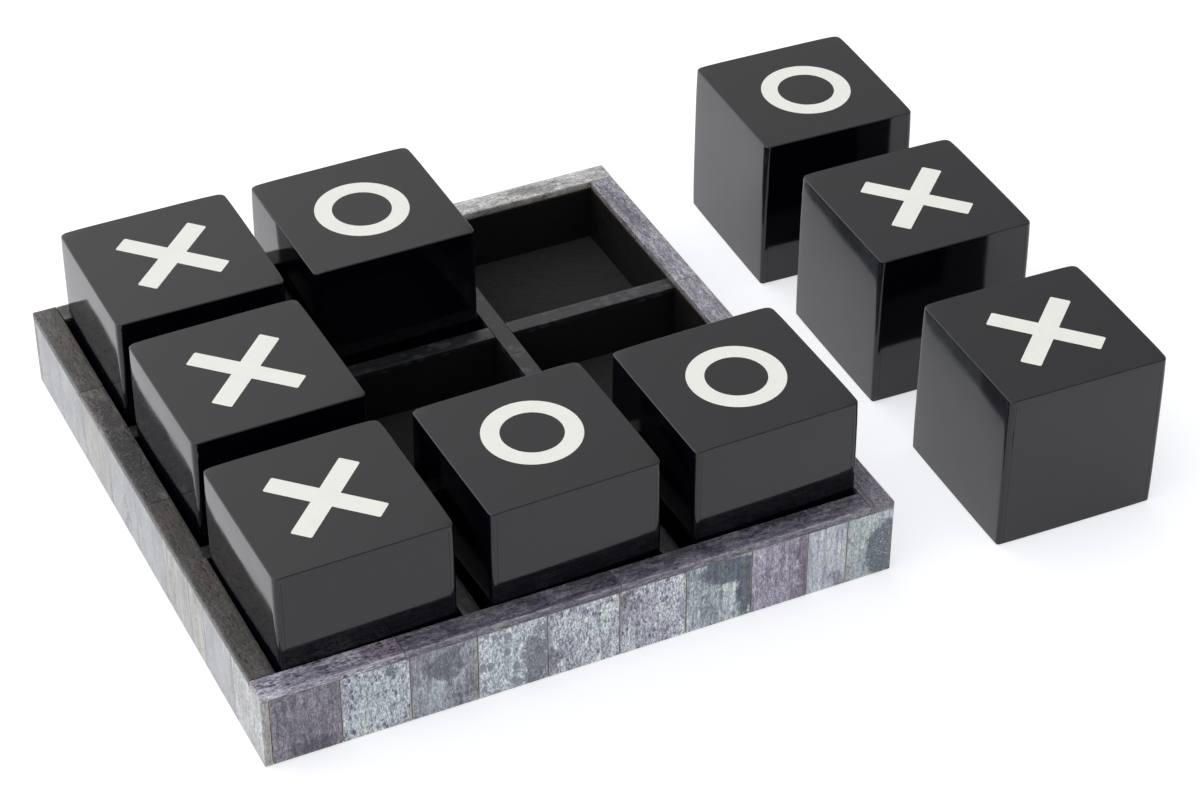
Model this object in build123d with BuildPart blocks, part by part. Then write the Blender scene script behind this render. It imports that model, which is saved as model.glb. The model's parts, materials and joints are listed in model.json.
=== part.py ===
from build123d import *
import os
from collections import namedtuple

# A noughts and crosses set: a square tray of nine cells, clad in bone tiles, and nine inlaid blocks.
# Millimetres, +Z up. The origin is the centre of the tray's underside. +X runs to the tray's right,
# where three blocks stand beside it, and +Y runs to its back.

# The tray's outside
TRAY_SIDE = 280.0
TRAY_HEIGHT = 37.0
RIM_WIDTH = 11.0
TILE_THICK = 3.4  # bone tiles on the four sides
CAP_THICK = 3.4  # bone strips on the rim
TILE_SEAM = 0.2  # resin line between two tiles
TILE_CLEAR = 0.5  # the tiles stop this far above the table
CAP_ROUND = 0.5

# The wooden frame and floor inside the cladding
RAIL_THICK = RIM_WIDTH - TILE_THICK
RAIL_REBATE = RAIL_THICK / 2  # corner laps and the seat for the floor board
BASE_FELT_THICK = 1.0
BASE_FELT_MARGIN = 1.5
BASE_FELT_CORNER = 2.0
BOARD_THICK = 4.5
CELL_FELT_THICK = 1.0
CELL_FELT_GAP = 0.3  # clearance around each cell's felt square

# The dividers
CELLS = 3
DIVIDER_WIDTH = 8.0
DIVIDER_TOP = 33.0
DIVIDER_CAP_THICK = 3.0
DIVIDER_CAP_ROUND = 0.3
HOUSING_DEPTH = 2.0  # how far a divider's end sits in its rail

# The blocks
BLOCK_SIDE = 76.2
PANEL_THICK = 2.8
PANEL_SEAM = 0.1  # glue line between two panels
EDGE_ROUND = 1.5  # upright edges
TOP_ROUND = 0.5
FOOT_ROUND = 0.8
INLAY_DEPTH = 1.5
RING_OUTER_RADIUS = 21.0
RING_INNER_RADIUS = 13.2
CROSS_ARM_LENGTH = 50.0  # end to end
CROSS_ARM_WIDTH = 9.0
CROSS_TURN = 45.0
CROSS_END_ROUND = 0.8

# Heights and widths that follow from these
HALF_SIDE = TRAY_SIDE / 2
HALF_FRAME = HALF_SIDE - TILE_THICK
HALF_INSIDE = HALF_SIDE - RIM_WIDTH
RAIL_TOP = TRAY_HEIGHT - CAP_THICK
BOARD_TOP = BASE_FELT_THICK + BOARD_THICK
FLOOR_TOP = BOARD_TOP + CELL_FELT_THICK
DIVIDER_CORE_TOP = DIVIDER_TOP - DIVIDER_CAP_THICK
CELL_SIDE = (2 * HALF_INSIDE - (CELLS - 1) * DIVIDER_WIDTH) / CELLS
CELL_PITCH = CELL_SIDE + DIVIDER_WIDTH
DIVIDER_AT = CELL_PITCH / 2
CORE_SIDE = BLOCK_SIDE - 2 * PANEL_THICK
CORE_TOP = BLOCK_SIDE - PANEL_THICK

# Each side of the tray is worked in a plane turned to it, in which that side is at local -Y
SIDES = {"front": 0.0, "right": 90.0, "back": 180.0, "left": 270.0}

# Widths of the side tiles, from the side's local -X end. One more tile takes what is left.
SIDE_TILE_WIDTHS = {
    "front": (29.5, 29.5, 29.0, 30.5, 32.0, 30.0, 30.0, 26.0, 18.5),
    "right": (31.0, 27.5, 30.0, 24.5, 33.0, 29.0, 28.0, 30.5, 20.0),
    "back": (28.0, 31.5, 26.5, 30.0, 29.5, 33.0, 22.0, 30.5, 24.0),
    "left": (31.0, 31.5, 34.0, 34.0, 34.5, 30.5, 16.5, 32.5),
}

# Lengths of the rim strips, from the side's local -X end. One more strip takes what is left.
RIM_STRIP_LENGTHS = {
    "front": (60.5, 94.0),
    "right": (88.0, 91.5),
    "back": (95.0, 80.0),
    "left": (65.0, 85.0),
}

# Where each long divider strip is pieced together, from its local -X end
DIVIDER_STRIP_LENGTHS = (104.0, 76.0)

# Each block: its mark and how far the mark was inlaid off the middle of the top, and how it stands
Block = namedtuple("Block", "name mark mark_off x y base turn")


def block_in_cell(name, mark, mark_off, cell, play, turn):
    """A block standing in a cell, off the cell's centre by its play and turned a little."""
    x = cell[0] * CELL_PITCH + play[0]
    y = cell[1] * CELL_PITCH + play[1]
    return Block(name, mark, mark_off, x, y, FLOOR_TOP, turn)


BLOCKS = (
    block_in_cell("x_block_1", "x", (0.9, 1.3), (-1, 1), (-0.2, 1.9), 0.0),
    block_in_cell("x_block_2", "x", (-0.2, -0.6), (-1, 0), (0.0, 1.5), 0.9),
    block_in_cell("x_block_3", "x", (-0.6, -0.1), (-1, -1), (-1.1, -1.6), 0.8),
    Block("x_block_4", "x", (0.7, 0.5), 228.5, 1.1, 0.0, -1.0),
    Block("x_block_5", "x", (0.8, 0.1), 227.2, -109.5, 0.0, -1.3),
    block_in_cell("o_block_1", "o", (0.0, -0.4), (0, 1), (-0.8, 1.7), 0.5),
    block_in_cell("o_block_2", "o", (-0.1, 2.6), (0, -1), (0.0, -1.3), 1.2),
    block_in_cell("o_block_3", "o", (1.0, 0.2), (1, -1), (1.5, -0.8), 0.9),
    Block("o_block_4", "o", (1.2, -0.3), 226.6, 102.9, 0.0, -1.6),
)


def save(builder, name):
    """Label a finished piece and write it to its own file."""
    builder.part.label = name
    export_step(builder.part, f"parts/{name}.step")


def side_plane(side, height):
    """The level plane at a height, turned so that the named side is at local -Y."""
    return Plane.XY.rotated((0, 0, SIDES[side])).offset(height)


def run_of_lengths(start, end, lengths, seam):
    """Split a run into pieces with a seam between neighbours: the centre and length of each."""
    pieces = []
    at = start
    for length in (*lengths, end - start - sum(lengths)):
        low = at if at == start else at + seam / 2
        high = at + length - seam / 2
        if len(pieces) == len(lengths):
            high = end
        pieces.append(((low + high) / 2, high - low))
        at += length
    return pieces


# ---------------------------------------------------------------- tray frame and floor


def make_rail(side):
    """A wooden rail: seated on the floor board, lapped at the corners, housed for the dividers."""
    runs_through = side in ("front", "back")
    half_length = HALF_FRAME if runs_through else HALF_FRAME - RAIL_REBATE
    middle_y = -(HALF_FRAME + HALF_INSIDE) / 2
    with BuildPart() as rail:
        with BuildSketch(side_plane(side, BASE_FELT_THICK)):
            with Locations((0, middle_y)):
                Rectangle(2 * half_length, RAIL_THICK)
        extrude(amount=RAIL_TOP - BASE_FELT_THICK)
        # seat for the edge of the floor board
        with BuildSketch(side_plane(side, BASE_FELT_THICK)):
            with Locations((0, -HALF_INSIDE)):
                Rectangle(2 * half_length, 2 * RAIL_REBATE)
        extrude(amount=BOARD_THICK, mode=Mode.SUBTRACT)
        # housings for the ends of the two dividers that meet this rail
        with BuildSketch(side_plane(side, BOARD_TOP)):
            with Locations((-DIVIDER_AT, -HALF_INSIDE), (DIVIDER_AT, -HALF_INSIDE)):
                Rectangle(DIVIDER_WIDTH, 2 * HOUSING_DEPTH)
        extrude(amount=DIVIDER_CORE_TOP - BOARD_TOP, mode=Mode.SUBTRACT)
        # corner laps for the ends of the left and right rails
        if runs_through:
            lap_x = HALF_FRAME - RAIL_THICK / 2
            lap_y = -HALF_INSIDE - RAIL_REBATE / 2
            with BuildSketch(side_plane(side, BASE_FELT_THICK)):
                with Locations((-lap_x, lap_y), (lap_x, lap_y)):
                    Rectangle(RAIL_THICK, RAIL_REBATE)
            extrude(amount=RAIL_TOP - BASE_FELT_THICK, mode=Mode.SUBTRACT)
    save(rail, f"rail_{side}")


def make_floor_board():
    """The board that the nine cells share, seated in the rails."""
    board_side = 2 * (HALF_INSIDE + RAIL_REBATE)
    with BuildPart() as board:
        with BuildSketch(Plane.XY.offset(BASE_FELT_THICK)):
            Rectangle(board_side, board_side)
        extrude(amount=BOARD_THICK)
    save(board, "floor_board")


def make_base_felt():
    """The felt sheet that the tray stands on."""
    felt_side = 2 * (HALF_FRAME - BASE_FELT_MARGIN)
    with BuildPart() as felt:
        with BuildSketch():
            RectangleRounded(felt_side, felt_side, BASE_FELT_CORNER)
        extrude(amount=BASE_FELT_THICK)
    save(felt, "base_felt")


def make_cell_felts():
    """One square of felt in the bottom of each cell."""
    felt_side = CELL_SIDE - 2 * CELL_FELT_GAP
    with BuildPart() as felts:
        with BuildSketch(Plane.XY.offset(BOARD_TOP)):
            with GridLocations(CELL_PITCH, CELL_PITCH, CELLS, CELLS):
                Rectangle(felt_side, felt_side)
        extrude(amount=CELL_FELT_THICK)
    save(felts, "cell_felts")


# ---------------------------------------------------------------- dividers


def make_divider(name, side):
    """A divider core that ends in the named side's rail, half-lapped where two others cross it."""
    half_height = (DIVIDER_CORE_TOP - BOARD_TOP) / 2
    crosses_over = side in ("front", "back")
    notch_base = BOARD_TOP if crosses_over else BOARD_TOP + half_height
    at_x = -DIVIDER_AT
    with BuildPart() as divider:
        with BuildSketch(side_plane(side, BOARD_TOP)):
            with Locations((at_x, 0)):
                Rectangle(DIVIDER_WIDTH, 2 * (HALF_INSIDE + HOUSING_DEPTH))
        extrude(amount=2 * half_height)
        with BuildSketch(side_plane(side, notch_base)):
            with Locations((at_x, -DIVIDER_AT), (at_x, DIVIDER_AT)):
                Rectangle(DIVIDER_WIDTH, DIVIDER_WIDTH)
        extrude(amount=half_height, mode=Mode.SUBTRACT)
    save(divider, name)


def divider_strip(side, lengths_across):
    """Bone strips on top of one divider, each given by its centre and length along local Y."""
    with BuildPart() as strips:
        with BuildSketch(side_plane(side, DIVIDER_CORE_TOP)):
            for centre, length in lengths_across:
                with Locations((-DIVIDER_AT, centre)):
                    Rectangle(DIVIDER_WIDTH, length)
        extrude(amount=DIVIDER_CAP_THICK)
        top_edges = strips.edges().group_by(Axis.Z)[-1]
        along = side_plane(side, 0).y_dir
        fillet(top_edges.filter_by(Axis((0, 0, 0), along)), radius=DIVIDER_CAP_ROUND)
    return strips


def make_divider_strips():
    """Two strips run through from front to back, and the other two are cut to fit between them."""
    through = run_of_lengths(-HALF_INSIDE, HALF_INSIDE, DIVIDER_STRIP_LENGTHS, TILE_SEAM)
    clear = DIVIDER_WIDTH / 2 + TILE_SEAM
    outer_length = HALF_INSIDE - DIVIDER_AT - clear
    outer_centre = HALF_INSIDE - outer_length / 2
    between = (
        (-outer_centre, outer_length),
        (0, 2 * (DIVIDER_AT - clear)),
        (outer_centre, outer_length),
    )
    save(divider_strip("front", through), "divider_strip_left")
    save(divider_strip("back", through), "divider_strip_right")
    save(divider_strip("left", between), "divider_strip_back")
    save(divider_strip("right", between), "divider_strip_front")


# ---------------------------------------------------------------- bone cladding


def make_side_tiles(side):
    """Upright bone tiles on one side. Each side's row covers the end of the row before it."""
    tiles = run_of_lengths(-HALF_FRAME, HALF_SIDE, SIDE_TILE_WIDTHS[side], TILE_SEAM)
    first_centre, first_width = tiles[0]
    tiles[0] = (first_centre + TILE_SEAM / 2, first_width - TILE_SEAM)
    middle_y = -HALF_SIDE + TILE_THICK / 2
    with BuildPart() as row:
        with BuildSketch(side_plane(side, TILE_CLEAR)):
            for centre, width in tiles:
                with Locations((centre, middle_y)):
                    Rectangle(width, TILE_THICK)
        extrude(amount=RAIL_TOP - TILE_CLEAR)
    save(row, f"side_tiles_{side}")


def make_rim_strips(side):
    """Bone strips on the rim over one side. Each row butts against the side of the next one."""
    strips = run_of_lengths(-HALF_SIDE, HALF_INSIDE, RIM_STRIP_LENGTHS[side], TILE_SEAM)
    last_centre, last_length = strips[-1]
    strips[-1] = (last_centre - TILE_SEAM / 2, last_length - TILE_SEAM)
    middle_y = -HALF_SIDE + RIM_WIDTH / 2
    with BuildPart() as row:
        with BuildSketch(side_plane(side, RAIL_TOP)):
            for centre, length in strips:
                with Locations((centre, middle_y)):
                    Rectangle(length, RIM_WIDTH)
        extrude(amount=CAP_THICK)
        top_edges = row.edges().group_by(Axis.Z)[-1]
        along = side_plane(side, 0).x_dir
        fillet(top_edges.filter_by(Axis((0, 0, 0), along)), radius=CAP_ROUND)
    save(row, f"rim_strips_{side}")


# ---------------------------------------------------------------- blocks


def block_plane(block, height):
    """The level plane at a height above a block's own foot, centred on the block and turned with it."""
    foot = Plane.XY.rotated((0, 0, block.turn))
    foot.origin = (block.x, block.y, block.base + height)
    return foot


def mark_outline(block):
    """Draw a block's ring or cross in the open sketch."""
    with Locations(block.mark_off):
        if block.mark == "o":
            Circle(RING_OUTER_RADIUS)
            Circle(RING_INNER_RADIUS, mode=Mode.SUBTRACT)
            return
        for turn in (CROSS_TURN, -CROSS_TURN):
            RectangleRounded(CROSS_ARM_LENGTH, CROSS_ARM_WIDTH, CROSS_END_ROUND, rotation=turn)


def make_core(block):
    """The wooden core that the panels are glued to."""
    with BuildPart() as core:
        with BuildSketch(block_plane(block, PANEL_THICK)):
            Rectangle(CORE_SIDE, CORE_SIDE)
        extrude(amount=CORE_TOP - PANEL_THICK)
    save(core, f"{block.name}_core")


def make_top(block):
    """The top panel, which covers the edges of the side panels, with the mark's pocket in it."""
    with BuildPart() as top:
        with BuildSketch(block_plane(block, CORE_TOP)):
            RectangleRounded(BLOCK_SIDE, BLOCK_SIDE, EDGE_ROUND)
        extrude(amount=PANEL_THICK)
        fillet(top.edges().group_by(Axis.Z)[-1], radius=TOP_ROUND)
        with BuildSketch(block_plane(block, BLOCK_SIDE - INLAY_DEPTH)):
            mark_outline(block)
        extrude(amount=INLAY_DEPTH, mode=Mode.SUBTRACT)
    save(top, f"{block.name}_top")


def make_sides(block):
    """Two side panels of full depth, two between them, and the base panel inside all four."""
    across = CORE_SIDE - 2 * PANEL_SEAM
    panel_at = (BLOCK_SIDE - PANEL_THICK) / 2
    with BuildPart() as sides:
        with BuildSketch(block_plane(block, 0)):
            RectangleRounded(BLOCK_SIDE, BLOCK_SIDE, EDGE_ROUND)
        extrude(amount=CORE_TOP)
        fillet(sides.edges().group_by(Axis.Z)[0], radius=FOOT_ROUND)
        # the hollow that holds the core and the base panel
        with BuildSketch(block_plane(block, 0)):
            Rectangle(CORE_SIDE, CORE_SIDE)
        extrude(amount=CORE_TOP, mode=Mode.SUBTRACT)
        # the four glue lines that part the full-depth panels from the ones between them
        with BuildSketch(block_plane(block, 0)):
            seam_x = CORE_SIDE / 2 - PANEL_SEAM / 2
            with GridLocations(2 * seam_x, 2 * panel_at, 2, 2):
                Rectangle(PANEL_SEAM, PANEL_THICK)
        extrude(amount=CORE_TOP, mode=Mode.SUBTRACT)
        with BuildSketch(block_plane(block, 0)):
            Rectangle(across, across)
        extrude(amount=PANEL_THICK)
    save(sides, f"{block.name}_sides")


def make_mark(block):
    """The bone inlay, flush with the top."""
    with BuildPart() as inlay:
        with BuildSketch(block_plane(block, BLOCK_SIDE - INLAY_DEPTH)):
            mark_outline(block)
        extrude(amount=INLAY_DEPTH)
    save(inlay, f"{block.name}_mark")


os.makedirs("parts", exist_ok=True)

make_base_felt()
make_floor_board()
make_cell_felts()
make_divider("divider_left", "front")
make_divider("divider_right", "back")
make_divider("divider_back", "left")
make_divider("divider_front", "right")
make_divider_strips()
for side in SIDES:
    make_rail(side)
    make_side_tiles(side)
    make_rim_strips(side)
for block in BLOCKS:
    make_core(block)
    make_sides(block)
    make_top(block)
    make_mark(block)
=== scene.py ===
import json
import math
import random

import bmesh
import bpy
from mathutils import Matrix, Vector
from mathutils import noise as field

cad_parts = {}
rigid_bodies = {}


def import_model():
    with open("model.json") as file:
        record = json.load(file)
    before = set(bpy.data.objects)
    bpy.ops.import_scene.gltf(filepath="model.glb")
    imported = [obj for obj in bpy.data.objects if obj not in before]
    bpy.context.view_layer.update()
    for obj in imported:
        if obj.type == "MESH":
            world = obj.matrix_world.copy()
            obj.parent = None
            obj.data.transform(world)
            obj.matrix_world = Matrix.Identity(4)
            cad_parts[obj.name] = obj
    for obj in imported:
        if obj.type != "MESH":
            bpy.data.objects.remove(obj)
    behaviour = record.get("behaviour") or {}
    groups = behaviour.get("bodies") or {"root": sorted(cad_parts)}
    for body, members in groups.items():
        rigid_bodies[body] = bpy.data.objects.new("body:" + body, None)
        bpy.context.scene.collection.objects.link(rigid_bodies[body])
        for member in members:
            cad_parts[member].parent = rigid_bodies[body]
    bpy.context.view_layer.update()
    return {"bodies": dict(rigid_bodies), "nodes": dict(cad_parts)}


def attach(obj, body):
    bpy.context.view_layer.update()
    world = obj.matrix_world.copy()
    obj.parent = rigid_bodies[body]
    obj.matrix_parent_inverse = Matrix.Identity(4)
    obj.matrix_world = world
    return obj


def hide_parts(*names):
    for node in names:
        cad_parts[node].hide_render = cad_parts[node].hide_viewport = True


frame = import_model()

MM = 0.001
NODES = frame["nodes"]
BLOCKS = sorted(name for name in frame["bodies"] if name != "tray")
SIDES = ("front", "right", "back", "left")
Z_UP = Vector((0, 0, 1))


def srgb(red, green, blue):
    """A display colour, 0 to 255, as the linear RGBA that a shader takes."""
    def linear(value):
        share = value / 255
        return share / 12.92 if share <= 0.04045 else ((share + 0.055) / 1.055) ** 2.4
    return (linear(red), linear(green), linear(blue), 1.0)


# ---------------------------------------------------------------- shader helpers


class Surface:
    """One material, with a short call for each kind of node that the materials here use."""

    def __init__(self, name, **shader_values):
        self.material = bpy.data.materials.new(name)
        self.material.use_nodes = True
        self.tree = self.material.node_tree
        self.shader = self.tree.nodes["Principled BSDF"]
        for socket, value in shader_values.items():
            self.shader.inputs[socket.replace("_", " ")].default_value = value

    def put(self, kind, inputs, **settings):
        """Add a shader node, with its inputs as values or as other nodes' outputs."""
        node = self.tree.nodes.new("ShaderNode" + kind)
        for key, value in settings.items():
            setattr(node, key, value)
        for key, value in inputs.items():
            self.feed(node.inputs[key], value)
        return node

    def feed(self, socket, value):
        if isinstance(value, bpy.types.NodeSocket):
            self.tree.links.new(value, socket)
        else:
            socket.default_value = value

    def to_shader(self, **values):
        """Set or link the shader's sockets, named with _ for a space."""
        for socket, value in values.items():
            self.feed(self.shader.inputs[socket.replace("_", " ")], value)

    def place(self):
        """Where a point is in the row frame, in metres."""
        return self.put("TexCoord", {}).outputs["Object"]

    def attribute(self, name, output="Vector"):
        """What a mesh says at each point, as a Vector, a Color or a number, Fac."""
        return self.put("Attribute", {}, attribute_name=name).outputs[output]

    def part(self, vector, axis):
        return self.put("SeparateXYZ", {"Vector": vector}).outputs[axis]

    def stretch(self, vector, factors):
        node = self.put("VectorMath", {0: vector, 1: factors}, operation="MULTIPLY")
        return node.outputs["Vector"]

    def noise(self, vector, scale, detail=2.0, roughness=0.5, seed=None, distortion=0.0):
        inputs = {"Vector": vector, "Scale": scale, "Detail": detail, "Roughness": roughness,
                  "Distortion": distortion}
        if seed is None:
            return self.put("TexNoise", inputs).outputs["Fac"]
        node = self.put("TexNoise", {}, noise_dimensions="4D")
        for key, value in {**inputs, "W": seed}.items():
            self.feed(node.inputs[key], value)
        return node.outputs["Fac"]

    def dots(self, vector, scale, seed, low, high):
        """Round dots of many sizes: 1 within low of a cell's point, down to 0 at high, in cell sizes."""
        inputs = {"Vector": vector, "Scale": scale, "W": seed}
        node = self.put("TexVoronoi", {}, voronoi_dimensions="4D")
        for key, value in inputs.items():
            self.feed(node.inputs[key], value)
        return self.ramp(node.outputs["Distance"], low, high, 1.0, 0.0)

    def ramp(self, value, low, high, to_low=0.0, to_high=1.0):
        """Smoothly from to_low, where the value is low or less, to to_high, where it is high or more."""
        node = self.put("MapRange", {}, interpolation_type="SMOOTHSTEP")
        for key, given in {"Value": value, "From Min": low, "From Max": high,
                           "To Min": to_low, "To Max": to_high}.items():
            self.feed(node.inputs[key], given)
        return node.outputs["Result"]

    def math(self, operation, first, second=0.0):
        return self.put("Math", {0: first, 1: second}, operation=operation).outputs[0]

    def times(self, first, second):
        return self.math("MULTIPLY", first, second)

    def about_zero(self, noise, reach):
        """A noise, which lies about 0.5, moved to lie about nothing and scaled to reach."""
        return self.times(self.math("SUBTRACT", noise, 0.5), reach)

    def mix(self, share, first, second, blend="MIX"):
        node = self.put("Mix", {}, data_type="RGBA", blend_type=blend)
        for index, value in ((0, share), (6, first), (7, second)):
            self.feed(node.inputs[index], value)
        return node.outputs[2]

    def dye(self, share, colour, tint):
        """The colour, with a tint multiplied in where share is 1."""
        return self.mix(share, colour, self.mix(1.0, colour, tint, "MULTIPLY"))

    def bump(self, height, distance, under=None):
        """A normal bumped by a height, 0 to 1, of distance in metres, on top of another normal."""
        inputs = {"Height": height, "Distance": distance, "Strength": 1.0}
        if under is not None:
            inputs["Normal"] = under
        return self.put("Bump", inputs).outputs["Normal"]


def dress(obj, surface):
    """Give every face of an object one surface."""
    obj.data.materials.clear()
    obj.data.materials.append(surface.material)


# ---------------------------------------------------------------- materials
# A scale is how many features lie in a metre: 1900 gives grain of about half a millimetre. A ramp's first
# two numbers are where in the noise it starts and ends, and noise lies between 0 and 1, mostly near 0.5.

BONE_IOR = 1.52
RESIN_IOR = 1.5
WOOD_IOR = 1.45


def dyed_ground(s, place, seed, grain):
    """A tile's dye: two tints in clouds, ragged bruises, then streaks, mottling and fine speckle, and on top
    of these painted glints, the colour lifted at the speckle's low points.

    Gives the colour, and the three noises that later stages use again."""
    streaks, speckles = s.part(grain, "X"), s.part(grain, "Y")
    cloud = s.noise(s.stretch(place, (1.0, 0.6, 1.0)), scale=75, detail=6.0, roughness=0.7, seed=seed)
    colour = s.mix(s.ramp(cloud, 0.40, 0.60), s.attribute("tint", "Color"), s.attribute("tint_2", "Color"))

    ragged = s.about_zero(s.noise(place, scale=300, detail=6.0, roughness=0.9, seed=seed), 18 * MM)
    depth = s.math("ADD", s.attribute("bruise", "Fac"), ragged)
    bruised = s.ramp(depth, -0.6 * MM, 1.4 * MM, 0.0, 0.92)
    colour = s.mix(bruised, colour, s.attribute("bruise_tint", "Color"))

    comb = s.noise(s.stretch(place, (1.0, 0.07, 1.0)), scale=560, detail=3.0, roughness=0.6, seed=seed)
    colour = s.dye(s.times(s.ramp(comb, 0.42, 0.64), streaks), colour, srgb(196, 195, 208))

    mottle = s.noise(s.stretch(place, (1.0, 0.30, 1.0)), scale=720, detail=5.0, roughness=0.75, seed=seed)
    colour = s.dye(s.times(s.ramp(mottle, 0.45, 0.62), speckles), colour, srgb(190, 190, 204))

    speckle = s.noise(s.stretch(place, (1.0, 0.38, 1.0)), scale=1900, detail=3.0, roughness=0.75, seed=seed)
    colour = s.dye(s.times(s.ramp(speckle, 0.46, 0.60), speckles), colour, srgb(160, 160, 176))
    # painted glints: the colour lifted by half at the speckle's low points, standing in for sparkle off the
    # polish
    painted_glint = s.times(s.ramp(speckle, 0.38, 0.50, 0.75, 0.0), speckles)
    colour = s.dye(painted_glint, colour, (1.5, 1.5, 1.48, 1))
    return colour, cloud, mottle, speckle


def bone_marks(s, colour, place, seed, marks):
    """Pores along the grain, rounder spots and pale flecks. Gives the colour and how much of it is pore."""
    wander = s.put("TexNoise", {"Vector": place, "Scale": 900.0, "Detail": 2.0}).outputs["Color"]
    shaken = s.put("VectorMath", {0: wander, 1: (1.1 * MM, 1.1 * MM, 1.1 * MM), 2: place},
                   operation="MULTIPLY_ADD").outputs["Vector"]

    cluster = s.ramp(s.noise(place, scale=150, detail=3.0, roughness=0.6, seed=seed), 0.40, 0.58, 0.10, 1.0)
    pores = s.dots(s.stretch(shaken, (1.0, 0.42, 1.0)), 600, seed, 0.32, 0.46)
    pore_share = s.times(pores, s.times(s.part(marks, "X"), cluster))
    colour = s.mix(s.times(pore_share, 0.95), colour, s.attribute("pore_tint", "Color"))

    spots = s.dots(s.stretch(shaken, (1.0, 0.75, 1.0)), 230, seed, 0.36, 0.46)
    spot_share = s.times(spots, s.part(marks, "Y"))
    colour = s.mix(s.times(spot_share, 0.8), colour, srgb(108, 114, 126))

    flecks = s.noise(place, scale=900, detail=4.0, roughness=0.8, seed=seed, distortion=0.6)
    fleck_share = s.times(s.ramp(flecks, 0.55, 0.64), s.part(marks, "Z"))
    return s.mix(fleck_share, colour, srgb(176, 190, 190)), pore_share


def bone_surface():
    """Polished bone, dyed grey: each tile's colours and marks come from its own attributes."""
    s = Surface("grey_bone", IOR=BONE_IOR)
    place = s.attribute("place")
    seed = s.attribute("seed", "Fac")
    grain = s.attribute("grain")
    colour, cloud, mottle, speckle = dyed_ground(s, place, seed, grain)
    colour, pore_share = bone_marks(s, colour, place, seed, s.attribute("marks"))

    # the resin line along each seam, dark or tan by turns
    seam = s.math("ADD", s.attribute("seam", "Fac"), s.about_zero(speckle, 0.8 * MM))
    seam_share = s.times(s.ramp(seam, 0.10 * MM, 0.46 * MM, 0.65, 0.0), s.part(grain, "Z"))
    resin = s.mix(s.ramp(cloud, 0.44, 0.54), srgb(92, 86, 84), srgb(158, 148, 124))
    colour = s.mix(seam_share, colour, resin)

    # painted highlight: a pale, broken line along the rim strips' outer top arris, standing in for light
    # caught on the rounded edge
    arris_highlight = s.times(s.attribute("painted_highlight", "Fac"), s.ramp(mottle, 0.42, 0.58, 0.0, 0.9))
    colour = s.mix(arris_highlight, colour, srgb(200, 197, 208))

    height = s.math("SUBTRACT", s.times(speckle, 0.5), s.times(pore_share, 0.9))
    s.to_shader(Base_Color=colour, Roughness=s.ramp(speckle, 0.3, 0.8, 0.34, 0.52),
                Normal=s.bump(height, 0.12 * MM))
    return s


def white_bone_surface():
    """The cream inlay: polished bone with faint grain and a few fine pores."""
    s = Surface("white_bone", IOR=BONE_IOR)
    place = s.place()
    fibre = s.noise(s.stretch(place, (1.0, 0.25, 1.0)), scale=520, detail=3.0, roughness=0.6)
    cream = s.ramp(s.noise(place, scale=120, detail=3.0), 0.35, 0.65)
    colour = s.mix(cream, srgb(219, 221, 215), srgb(223, 223, 216))
    colour = s.mix(s.ramp(fibre, 0.52, 0.8, 0.0, 0.16), colour, srgb(198, 196, 184))
    pores = s.ramp(s.noise(s.stretch(place, (1.0, 0.4, 1.0)), scale=1500, detail=2.0), 0.69, 0.76)
    colour = s.mix(s.times(pores, 0.4), colour, srgb(158, 152, 136))
    s.to_shader(Base_Color=colour, Roughness=s.ramp(fibre, 0.3, 0.7, 0.22, 0.34),
                Normal=s.bump(fibre, 0.04 * MM))
    return s


def resin_surface():
    """Black resin, cast in sheets and polished by hand: faint waves, fine haze and dull glue lines."""
    s = Surface("black_resin", IOR=RESIN_IOR)
    place = s.place()
    haze = s.noise(place, scale=38, detail=4.0, roughness=0.6)
    scratch = s.noise(s.stretch(place, (1.0, 0.06, 1.0)), scale=2600, detail=2.0, roughness=0.7)
    colour = s.mix(haze, (0.0008, 0.0010, 0.0030, 1), (0.0016, 0.0018, 0.0042, 1))
    glue = s.ramp(s.attribute("joint", "Fac"), 0.06 * MM, 0.18 * MM, 1.0, 0.0)
    waves = s.bump(s.noise(place, scale=30, detail=1.0), 0.16 * MM)
    peel = s.bump(s.noise(place, scale=420, detail=2.0), 0.0035 * MM, under=waves)
    fine = s.bump(scratch, 0.0012 * MM, under=peel)
    polish = s.math("ADD", s.ramp(haze, 0.3, 0.75, 0.055, 0.11), s.times(glue, 0.1))
    s.to_shader(Base_Color=colour, Roughness=polish, Normal=fine)
    return s


GLUE_LINE = (33.25 * MM, 33.75 * MM)  # heights between which the paint gives way to bare glue


def painted_wood_surface():
    """Black paint brushed on wood, with the bare glue line showing right under the rim strips."""
    s = Surface("black_painted_wood", IOR=WOOD_IOR)
    place = s.place()
    brush = s.noise(s.stretch(place, (0.25, 0.25, 1.0)), scale=700, detail=3.0, roughness=0.6)
    ragged = s.times(s.noise(place, scale=260, detail=3.0, roughness=0.6), 0.7 * MM)
    near_top = s.ramp(s.math("ADD", s.part(place, "Z"), ragged), *GLUE_LINE, 0.0, 0.85)
    colour = s.mix(brush, (0.0060, 0.0056, 0.0068, 1), (0.0130, 0.0120, 0.0138, 1))
    colour = s.mix(near_top, colour, srgb(96, 76, 54))
    s.to_shader(Base_Color=colour, Roughness=s.ramp(brush, 0.3, 0.7, 0.30, 0.46),
                Normal=s.bump(brush, 0.05 * MM))
    return s


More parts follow.
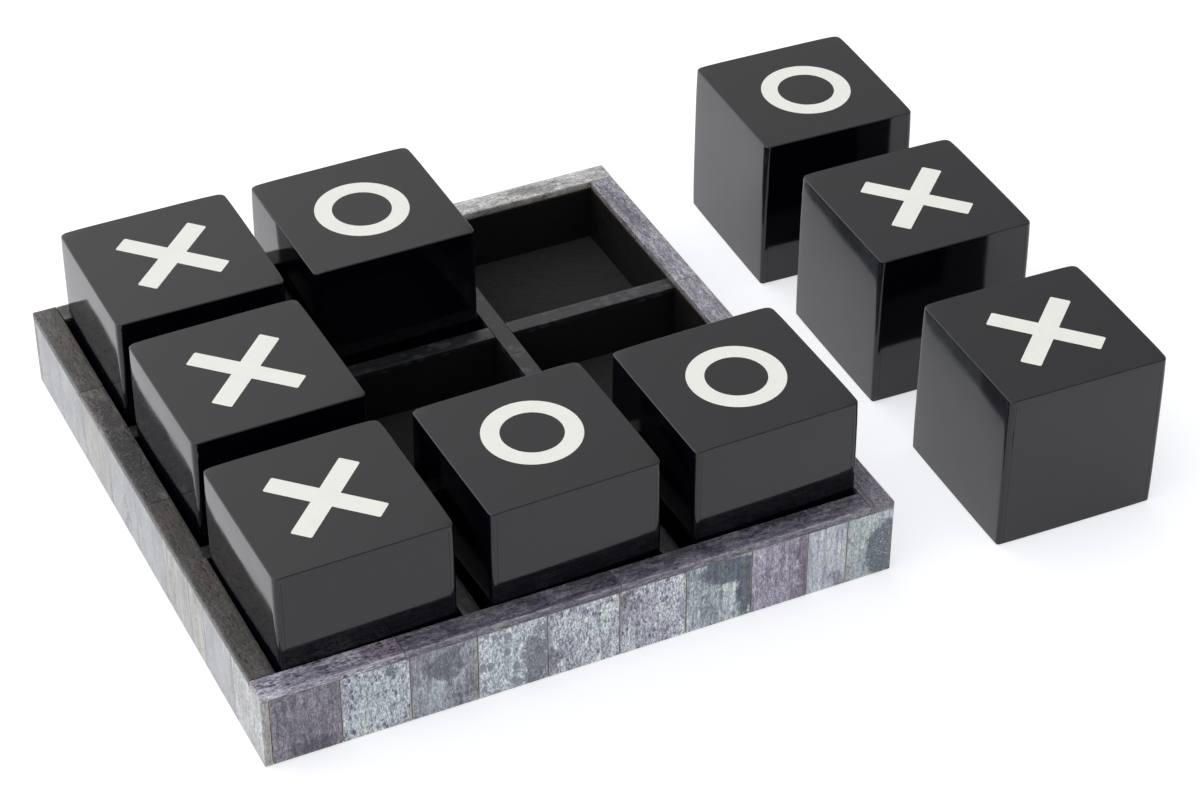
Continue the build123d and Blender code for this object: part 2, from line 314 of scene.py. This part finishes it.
def wood_surface(name, pale, dark):
    """Sawn wood: rings stretched along the grain and fine pores."""
    s = Surface(name, IOR=WOOD_IOR)
    along = s.stretch(s.place(), (0.12, 1.0, 1.0))
    rings = s.noise(along, scale=160, detail=4.0, roughness=0.6, distortion=1.5)
    pores = s.noise(along, scale=1500, detail=2.0)
    colour = s.mix(s.ramp(rings, 0.3, 0.7), pale, dark)
    colour = s.mix(s.ramp(pores, 0.6, 0.75, 0.0, 0.5), colour, srgb(84, 60, 38))
    s.to_shader(Base_Color=colour, Roughness=s.ramp(rings, 0.3, 0.7, 0.6, 0.75),
                Normal=s.bump(pores, 0.1 * MM))
    return s


def felt_surface():
    """Pressed black wool felt: matted fibres, a soft sheen and a little dust."""
    s = Surface("black_felt", Sheen_Weight=0.15, Sheen_Roughness=0.5, Roughness=0.95, Specular_IOR_Level=0.2)
    place = s.place()
    fibre = s.noise(place, scale=1700, detail=4.0, roughness=0.8, distortion=1.2)
    clump = s.noise(place, scale=210, detail=3.0, roughness=0.6)
    colour = s.mix(s.ramp(fibre, 0.3, 0.7), srgb(12, 12, 14), srgb(36, 36, 39))
    colour = s.mix(s.ramp(clump, 0.35, 0.7, 0.0, 0.45), colour, srgb(20, 20, 23))
    dust = s.ramp(s.noise(place, scale=2400, detail=1.0), 0.70, 0.76, 0.0, 0.5)
    colour = s.mix(dust, colour, srgb(84, 83, 80))
    height = s.math("ADD", s.times(fibre, 0.6), clump)
    s.to_shader(Base_Color=colour, Normal=s.bump(height, 0.35 * MM))
    return s


# ---------------------------------------------------------------- bone tiles

GRID = 1.7 * MM  # how finely a tile's faces are divided
TILE_EDGE = 0.18 * MM
RIM_EDGE = 0.45 * MM
END_EDGE = 0.10 * MM  # the finer rounding at a tile's two ends
BLOT = 7 * MM  # the size of the lobes in a bruise's outline
BLOT_ACROSS = 0.45 * BLOT  # and how far they reach
BLOT_UP = 0.8 * BLOT
GROUND = 0.05 * MM  # how far hand grinding leaves a face off flat
GROUND_WAVES = ((160, 0.7), (500, 0.3))  # its waves in a metre, and the share of each
WELD = 0.001 * MM  # corners nearer than this are one corner
HIGHLIGHT_REACH = 1.25  # how far the painted highlight goes in from a strip's outer corner, in edge roundings

# Each kind of bone: two tints, the bruise's tint, the pores' tint, how strong its pores, spots and
# pale flecks are, and how strong its streaks, speckle and seam lines are
BONE = {
    "violet": (srgb(144, 137, 146), srgb(120, 118, 128), srgb(98, 95, 102), srgb(66, 62, 78),
               (0.5, 0.0, 0.0), (0.8, 0.9, 1.0)),
    "violet_streaked": (srgb(194, 190, 198), srgb(162, 153, 169), srgb(122, 112, 126), srgb(84, 78, 98),
                        (0.6, 0.0, 0.0), (1.0, 0.8, 1.0)),
    "pale_pored": (srgb(206, 217, 213), srgb(178, 182, 190), srgb(112, 116, 126), srgb(70, 74, 96),
                   (1.0, 0.15, 0.0), (0.3, 0.9, 1.0)),
    "patched": (srgb(174, 183, 184), srgb(134, 133, 142), srgb(106, 111, 116), srgb(80, 82, 98),
                (0.4, 0.0, 0.0), (0.7, 0.7, 1.0)),
    "spotted": (srgb(212, 222, 218), srgb(190, 198, 200), srgb(122, 126, 134), srgb(84, 90, 104),
                (0.6, 1.0, 0.0), (0.3, 0.9, 1.0)),
    "pale_fine": (srgb(210, 218, 215), srgb(182, 186, 192), srgb(146, 146, 154), srgb(84, 88, 104),
                  (1.0, 0.0, 0.0), (0.4, 1.0, 1.0)),
    "pale_violet": (srgb(214, 220, 220), srgb(172, 170, 182), srgb(104, 100, 102), srgb(76, 76, 92),
                    (1.0, 0.1, 0.1), (0.6, 1.0, 1.0)),
    "half_dark": (srgb(198, 211, 208), srgb(176, 188, 188), srgb(84, 94, 105), srgb(76, 86, 100),
                  (0.5, 0.0, 0.15), (1.0, 0.8, 1.0)),
    "smooth_blue": (srgb(204, 211, 212), srgb(186, 190, 196), srgb(146, 142, 154), srgb(108, 112, 122),
                    (0.3, 0.0, 0.0), (0.7, 0.6, 1.0)),
    "charcoal": (srgb(196, 207, 202), srgb(158, 167, 168), srgb(84, 94, 104), srgb(76, 84, 96),
                 (0.5, 0.1, 0.9), (0.3, 0.7, 1.0)),
    "left_pale": (srgb(158, 160, 160), srgb(144, 145, 148), srgb(120, 120, 122), srgb(112, 112, 114),
                  (0.1, 0.0, 0.0), (0.5, 0.2, 0.15)),
    "left_cream": (srgb(163, 163, 158), srgb(150, 149, 145), srgb(130, 127, 114), srgb(112, 110, 108),
                   (0.1, 0.0, 0.0), (0.7, 0.2, 0.2)),
    "left_corner": (srgb(182, 183, 182), srgb(166, 166, 163), srgb(128, 124, 112), srgb(96, 92, 88),
                    (0.7, 0.0, 0.1), (0.5, 0.6, 0.3)),
    "rim_violet": (srgb(192, 187, 198), srgb(154, 149, 162), srgb(152, 136, 150), srgb(50, 46, 56),
                   (1.0, 0.0, 0.35), (0.8, 1.0, 0.3)),
    "rim_slate": (srgb(136, 131, 140), srgb(98, 94, 102), srgb(66, 63, 74), srgb(42, 40, 50),
                  (0.9, 0.0, 0.25), (1.0, 1.0, 0.4)),
    "rim_brown": (srgb(84, 79, 73), srgb(56, 53, 49), srgb(74, 60, 54), srgb(30, 28, 27),
                  (0.9, 0.0, 0.05), (0.4, 1.0, 0.05)),
    "rim_umber": (srgb(106, 96, 92), srgb(60, 54, 54), srgb(40, 35, 38), srgb(24, 21, 23),
                  (1.0, 0.0, 0.2), (0.4, 1.0, 0.05)),
    "rim_grey": (srgb(216, 215, 208), srgb(190, 189, 184), srgb(140, 138, 134), srgb(98, 94, 86),
                 (0.6, 0.0, 0.0), (0.6, 0.7, 0.3)),
    "rim_dove": (srgb(176, 174, 178), srgb(144, 141, 147), srgb(118, 114, 122), srgb(72, 68, 74),
                 (0.7, 0.0, 0.1), (0.7, 0.9, 0.3)),
    "divider": (srgb(38, 39, 42), srgb(26, 27, 31), srgb(26, 26, 29), srgb(20, 20, 23),
                (0.4, 0.2, 0.03), (0.8, 0.8, 0.5)),
}

# The kind of each tile, from a side's own left end as seen from outside
TILE_KINDS = {
    "front": ("violet", "pale_pored", "patched", "spotted", "pale_fine", "pale_violet", "half_dark",
              "violet_streaked", "smooth_blue", "charcoal"),
    "right": ("pale_fine", "spotted", "violet", "smooth_blue", "pale_pored", "half_dark", "pale_violet",
              "patched", "violet_streaked", "pale_fine"),
    "back": ("smooth_blue", "pale_pored", "charcoal", "pale_fine", "violet", "spotted", "pale_violet",
             "patched", "pale_fine", "violet_streaked"),
    "left": ("left_pale", "left_pale", "left_cream", "left_pale", "left_pale", "left_cream",
             "left_cream", "left_pale", "left_corner"),
}
# Bruises in the dye, as (tile, middle across, middle up, half width, half height) in millimetres from
# the tile's lower left corner
BRUISES = {
    "front": ((0, 17, 3, 11, 5), (1, 22, 31, 3, 3), (2, 14.5, 24, 8.5, 9), (2, 22, 4, 5, 3),
              (3, 25, 12, 5.5, 18), (4, 1, 8, 4, 14), (5, 1, 28, 4, 5),
              (6, 19, 27, 13, 8), (6, 28, 14, 5, 18), (7, 24, 18, 3.4, 30), (8, 15, 3, 3, 4),
              (9, 18, 12, 9, 17)),
    "right": ((2, 18, 10, 9, 6), (5, 8, 26, 12, 9), (7, 20, 18, 8, 12), (9, 4, 6, 6, 8)),
    "back": ((1, 20, 8, 7, 5), (2, 12, 16, 12, 22), (5, 6, 24, 8, 6), (7, 14, 14, 9, 12)),
    "left": ((3, 20, 9, 3, 12), (5, 8, 22, 2, 18), (6, 8, 12, 2, 20)),
}
RIM_KINDS = {
    "front": ("rim_violet", "rim_slate", "rim_slate"),
    "right": ("rim_slate", "rim_dove", "rim_dove"),
    "back": ("rim_grey", "rim_slate", "rim_brown"),
    "left": ("rim_brown", "rim_umber", "rim_brown"),
}
# The same for the rim strips, with up along the strip and across measured inwards
RIM_BRUISES = {
    "front": ((0, 5, 54, 6, 9), (2, 8, 30, 3, 18), (2, 9, 80, 3, 16)),
    "right": ((1, 5, 30, 4, 12), (2, 6, 60, 4, 20)),
    "back": ((0, 6, 40, 4, 16), (1, 5, 50, 4, 14)),
    "left": ((0, 6, 30, 5, 9), (1, 5, 62, 7, 28), (1, 6, 20, 4, 9), (2, 4, 12, 5, 10), (2, 7, 52, 4, 8)),
}


def solid_boxes(node):
    """The lowest and highest corner of each separate solid in a CAD node."""
    mesh = NODES[node].data
    spots = [tuple(round(c / WELD) for c in vertex.co) for vertex in mesh.vertices]
    group = {spot: spot for spot in spots}

    def root(spot):
        while group[spot] != spot:
            group[spot] = group[group[spot]]
            spot = group[spot]
        return spot

    for face in mesh.polygons:
        first = root(spots[face.vertices[0]])
        for index in face.vertices[1:]:
            group[root(spots[index])] = first
    boxes = {}
    for vertex, spot in zip(mesh.vertices, spots):
        low, high = boxes.setdefault(root(spot), (vertex.co.copy(), vertex.co.copy()))
        for axis in range(3):
            low[axis] = min(low[axis], vertex.co[axis])
            high[axis] = max(high[axis], vertex.co[axis])
    return list(boxes.values())


def side_directions(side):
    """The direction along a side, left to right as seen from outside, and the way out of it."""
    turn = Matrix.Rotation(math.radians(90 * SIDES.index(side)), 3, "Z")
    return turn @ Vector((1, 0, 0)), turn @ Vector((0, -1, 0))


def depth_in_bruises(across, up, bruises, seed):
    """How far inside the nearest bruise a point is, in metres. Less than nothing is outside all of them."""
    deepest = -1.0
    lobe = Vector((across, up, seed)) / BLOT
    across += field.noise(lobe) * BLOT_ACROSS
    up += field.noise(lobe + Vector((9, 4, 0))) * BLOT_UP
    for middle_across, middle_up, half_across, half_up in bruises:
        away = math.hypot((across - middle_across) / half_across, (up - middle_up) / half_up)
        deepest = max(deepest, (1 - away) * min(half_across, half_up))
    return deepest


def ground_box(low, high, up, edge):
    """A box with its lengthwise edges rounded by edge, its ends more finely, and its faces in a fine grid."""
    size = high - low
    centre = (low + high) / 2
    piece = bmesh.new()
    bmesh.ops.create_cube(piece, size=1.0)
    for vertex in piece.verts:
        vertex.co = Vector((vertex.co[i] * size[i] for i in range(3))) + centre
    lengthwise = [line for line in piece.edges
                  if abs((line.verts[1].co - line.verts[0].co).normalized().dot(up)) > 0.9]
    bmesh.ops.bevel(piece, geom=lengthwise, offset=edge, segments=3, profile=0.5, affect="EDGES")
    ends = [line for line in piece.edges if line.calc_face_angle() > math.radians(60)]
    bmesh.ops.bevel(piece, geom=ends, offset=END_EDGE, segments=2, profile=0.5, affect="EDGES")
    for axis in range(3):
        cuts = int(size[axis] / GRID)
        cut_across(piece, axis, [low[axis] + size[axis] * cut / cuts for cut in range(1, cuts)], low)
    piece.normal_update()
    return piece


def cut_across(shape, axis, places, through):
    """Cut a bmesh's faces by planes square to an axis. Each plane's point is through, moved to its place."""
    normal = Vector((0, 0, 0))
    normal[axis] = 1
    for place in places:
        at = through.copy()
        at[axis] = place
        bmesh.ops.bisect_plane(shape, geom=shape.verts[:] + shape.edges[:] + shape.faces[:],
                               plane_co=at, plane_no=normal)


def distance_to_seam(across, along, width, length, upright):
    """How far a point is from the nearest joint with another tile or with the rim."""
    if upright:
        return min(across, width - across, length - along)
    return min(along, length - along) if length > width else 0.0


def add_worn_box(shape, low, high, run, up, edge, kind, seed, bruises, highlight_towards):
    """Add one ground and polished bone tile to a mesh.

    Its grain is along up, and run is across it. The edge that the last argument points to gets a painted
    highlight, a pale broken line."""
    size = high - low
    centre = (low + high) / 2
    piece = ground_box(low, high, up, edge)
    tint, tint_2, bruise_tint, pore_tint, marks, grain = BONE[kind]
    layers = {name: piece.verts.layers.float_vector.new(name) for name in ("place", "marks", "grain")}
    dyes = {"tint": tint, "tint_2": tint_2, "bruise_tint": bruise_tint, "pore_tint": pore_tint}
    colours = {name: piece.verts.layers.float_color.new(name) for name in dyes}
    numbers = {name: piece.verts.layers.float.new(name) for name in ("seed", "seam", "bruise", "painted_highlight")}
    out = run.cross(up)
    width, length = abs(size.dot(run)), abs(size.dot(up))
    start = centre - run * width / 2 - up * length / 2
    for vertex in piece.verts:
        from_start = vertex.co - start
        across, along = from_start.dot(run), from_start.dot(up)
        vertex[layers["place"]] = Vector((across, along, from_start.dot(out)))
        vertex[layers["marks"]] = Vector(marks)
        vertex[layers["grain"]] = Vector(grain)
        for name, dye in dyes.items():
            vertex[colours[name]] = dye
        vertex[numbers["seed"]] = seed
        vertex[numbers["bruise"]] = depth_in_bruises(across, along, bruises, seed)
        vertex[numbers["seam"]] = distance_to_seam(across, along, width, length, up == Z_UP)
        # the painted highlight's share: full on the outer arris, fading inwards
        if highlight_towards is not None:
            short = sum(abs(highlight_towards[i]) * size[i] for i in range(3)) / 2 - (vertex.co - centre).dot(highlight_towards)
            vertex[numbers["painted_highlight"]] = min(max(HIGHLIGHT_REACH - short / edge, 0.0), 1.0)
        wave = sum(field.noise(vertex.co * often) * share for often, share in GROUND_WAVES)
        vertex.co -= vertex.normal * GROUND * (0.5 + 0.5 * wave)
    mesh = bpy.data.meshes.new("piece")
    piece.to_mesh(mesh)
    piece.free()
    shape.from_mesh(mesh)
    bpy.data.meshes.remove(mesh)


def bone_piece(name, node, boxes, surface):
    """A row of bone tiles as one piece that stands for a CAD node.

    Each box holds the arguments that add_worn_box takes."""
    shape = bmesh.new()
    for box in boxes:
        add_worn_box(shape, **box)
    for face in shape.faces:
        face.smooth = True
    finished_piece(name, shape, node, "tray", surface)


def finished_piece(name, shape, node, body, surface):
    """Turn a bmesh into an object that stands for a CAD node and rides its body."""
    mesh = bpy.data.meshes.new(name)
    shape.to_mesh(mesh)
    shape.free()
    obj = bpy.data.objects.new(name, mesh)
    bpy.context.scene.collection.objects.link(obj)
    dress(obj, surface)
    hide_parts(node)
    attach(obj, body)
    return obj


def bruises_of(table, index):
    """The bruises of one tile or strip, in metres."""
    return [tuple(value * MM for value in bruise[1:]) for bruise in table if bruise[0] == index]


def make_side_tiles(side, surface, chance):
    """The upright tiles on one side of the tray, left to right."""
    run, _ = side_directions(side)
    node = f"side_tiles_{side}"
    found = sorted(solid_boxes(node), key=lambda box: ((box[0] + box[1]) / 2).dot(run))
    boxes = [
        {"low": low, "high": high, "run": run, "up": Z_UP, "edge": TILE_EDGE, "kind": TILE_KINDS[side][index],
         "seed": chance.uniform(0, 50), "bruises": bruises_of(BRUISES[side], index), "highlight_towards": None}
        for index, (low, high) in enumerate(found)
    ]
    bone_piece(f"bone_tiles_{side}", node, boxes, surface)


def make_rim_strips(side, surface, chance):
    """The strips on one side of the rim, left to right. All but the left side's get a painted highlight along
    their outer top edges.
    """
    run, out = side_directions(side)
    node = f"rim_strips_{side}"
    found = sorted(solid_boxes(node), key=lambda box: ((box[0] + box[1]) / 2).dot(run))
    boxes = [
        {"low": low, "high": high, "run": -out, "up": run, "edge": RIM_EDGE, "kind": RIM_KINDS[side][index],
         "seed": chance.uniform(0, 50), "bruises": bruises_of(RIM_BRUISES[side], index),
         "highlight_towards": None if side == "left" else out + Z_UP}
        for index, (low, high) in enumerate(found)
    ]
    bone_piece(f"bone_rim_{side}", node, boxes, surface)


def make_divider_strips(which, surface, chance):
    """The strips on one divider, in the CAD's order."""
    node = f"divider_strip_{which}"
    lengthwise = Vector((0, 1, 0)) if which in ("left", "right") else Vector((1, 0, 0))
    boxes = [
        {"low": low, "high": high, "run": lengthwise.cross(Z_UP), "up": lengthwise, "edge": TILE_EDGE,
         "kind": "divider", "seed": chance.uniform(0, 50), "bruises": (), "highlight_towards": None}
        for low, high in solid_boxes(node)
    ]
    bone_piece(f"bone_divider_{which}", node, boxes, surface)


# ---------------------------------------------------------------- blocks

PANEL = 2.8 * MM
GRID_EDGES = (0.2, 0.5, 1.0, 1.5, 2.1, 2.8, 4.2, 6.0, 8.5, 12.0)  # mm in from an edge, where faces are cut
GRID_MIDDLE = (0.0, 0.25, 0.5)  # and as shares of the half side
CORNER_ROUND = 2.6 * MM  # plan rounding of the top corners, in place of the CAD's
CAD_ROUND = 1.5 * MM
FULL = 0.1 * MM  # how far polishing leaves the middle of a face outside the true cube
FALL = 0.25 * MM  # how far it takes each edge in from there
SAG = 0.5 * MM  # how much lower polishing leaves the top corners
SHARP = math.radians(32)  # edges sharper than this stay crisp
FLAT = 0.0005  # radians between faces that are one flat face
# How fast each effect grows towards a face's edge: powers of the distance, as a share of the half side
ROUND_POWER = 12
SAG_POWER = 10
FALL_POWER = 4


def block_frame(block):
    """Where a block stands: the middle of its cube, its half side and its turn."""
    core = NODES[f"{block}_core"].data
    low, high = Vector(core.vertices[0].co), Vector(core.vertices[0].co)
    for vertex in core.vertices:
        for axis in range(3):
            low[axis] = min(low[axis], vertex.co[axis])
            high[axis] = max(high[axis], vertex.co[axis])
    side = max((face for face in core.polygons if face.normal.x > 0.9), key=lambda face: face.area)
    half = (high.z - low.z) / 2 + PANEL
    return (low + high) / 2, half, math.atan2(side.normal.y, side.normal.x)


def rounded_reach(across, half, radius):
    """How far out a square with rounded corners reaches, in the direction that meets its side at across.

    1 is the sharp square's side."""
    middle = half - radius
    if across <= middle:
        return 1.0
    length = math.hypot(half, across)
    along = middle * (half + across) / length
    reach = along + math.sqrt(max(along * along - 2 * middle * middle + radius * radius, 0.0))
    return reach / length


def polished(spot, half):
    """Where hand polishing leaves a point of the sharp CAD block, in the block's own frame."""
    u, v, w = (c / half for c in spot)
    plan = max(abs(u), abs(v))
    shrink = 1.0
    if plan > 0:
        across = min(abs(u), abs(v)) / plan * half
        wanted = rounded_reach(across, half, CORNER_ROUND) / rounded_reach(across, half, CAD_ROUND)
        share = min(max((w + 1) / 2, 0.0), 1.0) * min(plan, 1.0) ** ROUND_POWER
        shrink = 1 - (1 - wanted) * share
    corner = min(abs(u * v), 1.0) ** SAG_POWER * max(w, 0.0)
    swell_x = (FULL - FALL * (v ** FALL_POWER + w ** FALL_POWER)) / half
    swell_y = (FULL - FALL * (u ** FALL_POWER + w ** FALL_POWER)) / half
    return Vector((
        spot[0] * (shrink + swell_x),
        spot[1] * (shrink + swell_y),
        spot[2] - SAG * corner,
    ))


def copied_shape(mesh, into, centre):
    """A CAD mesh as a bmesh in a block's own frame, with its corners joined and its flat faces whole."""
    shape = bmesh.new()
    spots = {}
    for face in mesh.polygons:
        corners = []
        for index in face.vertices:
            local = into @ (mesh.vertices[index].co - centre)
            key = tuple(round(c / (WELD / 2)) for c in local)
            if key not in spots:
                spots[key] = shape.verts.new(local)
            corners.append(spots[key])
        if len(set(corners)) > 2:
            shape.faces.new(corners)
    bmesh.ops.dissolve_limit(shape, angle_limit=FLAT, verts=shape.verts[:], edges=shape.edges[:])
    return shape


def block_piece(name, node, body, surface):
    """A block's panels or mark, as the CAD has them, with the soft shape that hand polishing leaves."""
    centre, half, turn = block_frame(body)
    shape = copied_shape(NODES[node].data, Matrix.Rotation(-turn, 3, "Z"), centre)
    steps = [half - cut * MM for cut in GRID_EDGES] + [half * share for share in GRID_MIDDLE]
    cuts = sorted({round(side * step, 7) for step in steps for side in (-1, 1)})
    for axis in range(3):
        cut_across(shape, axis, cuts, Vector((0, 0, 0)))
    back = Matrix.Rotation(turn, 3, "Z")
    joint = shape.verts.layers.float.new("joint")
    inside = half - PANEL
    for vertex in shape.verts:
        x, y, z = vertex.co
        vertex[joint] = z - inside if "top" in node else min(inside - z, abs(abs(x) - inside))
        vertex.co = back @ polished(vertex.co, half) + centre
    shape.normal_update()
    for face in shape.faces:
        face.smooth = True
    for edge in shape.edges:
        if len(edge.link_faces) == 2 and edge.calc_face_angle() > SHARP:
            edge.smooth = False
    obj = finished_piece(name, shape, node, body, surface)
    weighted = obj.modifiers.new("weighted", "WEIGHTED_NORMAL")
    weighted.keep_sharp = True


# ---------------------------------------------------------------- the object

chance = random.Random(5)
bone = bone_surface()
for side in SIDES:
    make_side_tiles(side, bone, chance)
    make_rim_strips(side, bone, chance)
for which in ("left", "right", "front", "back"):
    make_divider_strips(which, bone, chance)

resin = resin_surface()
white_bone = white_bone_surface()
core_wood = wood_surface("core_wood", srgb(196, 160, 118), srgb(158, 120, 82))
for block in BLOCKS:
    block_piece(f"{block}_lid", f"{block}_top", block, resin)
    block_piece(f"{block}_panels", f"{block}_sides", block, resin)
    block_piece(f"{block}_inlay", f"{block}_mark", block, white_bone)
    dress(NODES[f"{block}_core"], core_wood)

paint = painted_wood_surface()
for name in ("left", "right", "front", "back"):
    dress(NODES[f"rail_{name}"], paint)
    dress(NODES[f"divider_{name}"], paint)
dress(NODES["floor_board"], wood_surface("bare_board", srgb(188, 158, 118), srgb(160, 128, 90)))
felt = felt_surface()
dress(NODES["cell_felts"], felt)
dress(NODES["base_felt"], felt)

# ---------------------------------------------------------------- floor, light and camera

FLOOR_HALF = 8.0
FLOOR_DROP = 0.2 * MM  # keeps the floor just clear of the felt


def make_floor():
    """The plain pale surface that the set stands on, partly self-lit so that shadows on it stay faint."""
    shape = bmesh.new()
    bmesh.ops.create_grid(shape, x_segments=1, y_segments=1, size=FLOOR_HALF)
    mesh = bpy.data.meshes.new("studio_floor")
    shape.to_mesh(mesh)
    shape.free()
    floor = bpy.data.objects.new("studio_floor", mesh)
    floor.location.z = -FLOOR_DROP
    bpy.context.scene.collection.objects.link(floor)
    pale = Surface("studio_floor", Base_Color=(0.52, 0.52, 0.52, 1), Roughness=1.0, Specular_IOR_Level=0.0,
                   Emission_Color=(0.97, 0.98, 1.03, 1), Emission_Strength=0.60)
    dress(floor, pale)


def make_world(dim, bright, aim, spread):
    """A soft tent of light, brightest towards aim and falling off smoothly to dim away from it.

    Spread is where the fall ends and starts, as cosines of the angle from aim."""
    world = bpy.data.worlds.new("studio")
    world.use_nodes = True
    tree = world.node_tree
    direction = tree.nodes.new("ShaderNodeTexCoord").outputs["Generated"]
    towards = tree.nodes.new("ShaderNodeVectorMath")
    towards.operation = "DOT_PRODUCT"
    tree.links.new(direction, towards.inputs[0])
    towards.inputs[1].default_value = Vector(aim).normalized()
    fall = tree.nodes.new("ShaderNodeMapRange")
    fall.interpolation_type = "SMOOTHSTEP"
    tree.links.new(towards.outputs["Value"], fall.inputs["Value"])
    for socket, value in zip(("From Min", "From Max", "To Min", "To Max"), (*spread, dim, bright)):
        fall.inputs[socket].default_value = value
    background = tree.nodes["Background"]
    background.inputs["Color"].default_value = (1.0, 1.0, 1.0, 1)
    tree.links.new(fall.outputs["Result"], background.inputs["Strength"])
    bpy.context.scene.world = world


# The camera, as angles in degrees and lengths in metres
CAMERA_AZIMUTH = -26.31
CAMERA_ELEVATION = 38.60
CAMERA_ROLL = 0.54
CAMERA_DISTANCE = 1.4785
CAMERA_TARGET = Vector((0.0858, 0.0021, -0.0346))
CAMERA_LENS = 98.21  # mm, on a 36 mm wide sensor
CAMERA_SHIFT = (-0.0208, 0.0647)


def make_camera():
    """The camera, aimed and rolled from its angles."""
    azimuth, elevation, roll = map(math.radians, (CAMERA_AZIMUTH, CAMERA_ELEVATION, CAMERA_ROLL))
    back = Vector((math.sin(azimuth) * math.cos(elevation), -math.cos(azimuth) * math.cos(elevation),
                   math.sin(elevation)))
    level = (-back).cross(Z_UP).normalized()
    over = level.cross(-back)
    right = level * math.cos(roll) + over * math.sin(roll)
    up = over * math.cos(roll) - level * math.sin(roll)
    data = bpy.data.cameras.new("camera")
    data.lens = CAMERA_LENS
    data.sensor_width = 36
    data.shift_x, data.shift_y = CAMERA_SHIFT
    data.clip_start, data.clip_end = 0.05, 50
    camera = bpy.data.objects.new("camera", data)
    camera.rotation_mode = "QUATERNION"
    camera.rotation_quaternion = Matrix((right, up, back)).transposed().to_quaternion()
    camera.location = CAMERA_TARGET + back * CAMERA_DISTANCE
    bpy.context.scene.collection.objects.link(camera)
    bpy.context.scene.camera = camera


make_floor()
make_world(dim=0.62, bright=2.1, aim=(-0.80, 0.48, 0.36), spread=(0.05, 0.95))
make_camera()
bpy.context.scene.view_settings.view_transform = "Standard"
